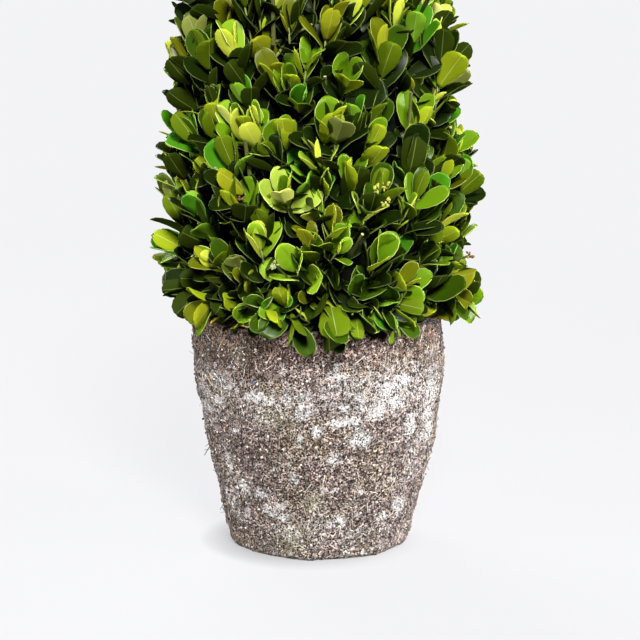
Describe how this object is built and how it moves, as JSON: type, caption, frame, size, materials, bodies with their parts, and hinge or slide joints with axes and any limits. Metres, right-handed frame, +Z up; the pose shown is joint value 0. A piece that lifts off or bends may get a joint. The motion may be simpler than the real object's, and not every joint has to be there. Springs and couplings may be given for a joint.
{
  "type": "clipped cone topiary",
  "caption": "Clipped cone of small leathery leaves growing out of a rough round pot that narrows to a flat foot.",
  "frame": {"origin": "middle of the pot's flat underside", "axes": "+Z up along the pot's and the cone's axis; the pictured side faces -Y, with +X to its right"},
  "size_m": [0.1535, 0.1583, 0.4094],
  "materials": {
    "pot": "rough moulded peat and cement with lime bloom",
    "fill": "matte dry planting mix",
    "stem": "bark",
    "foliage": "satin leaves"
  },
  "bodies": {
    "root": {"pot": "pot", "fill": "fill", "stem": "stem", "foliage_lower": "foliage", "foliage_middle": "foliage", "foliage_top": "foliage"}
  },
  "joints": []
}
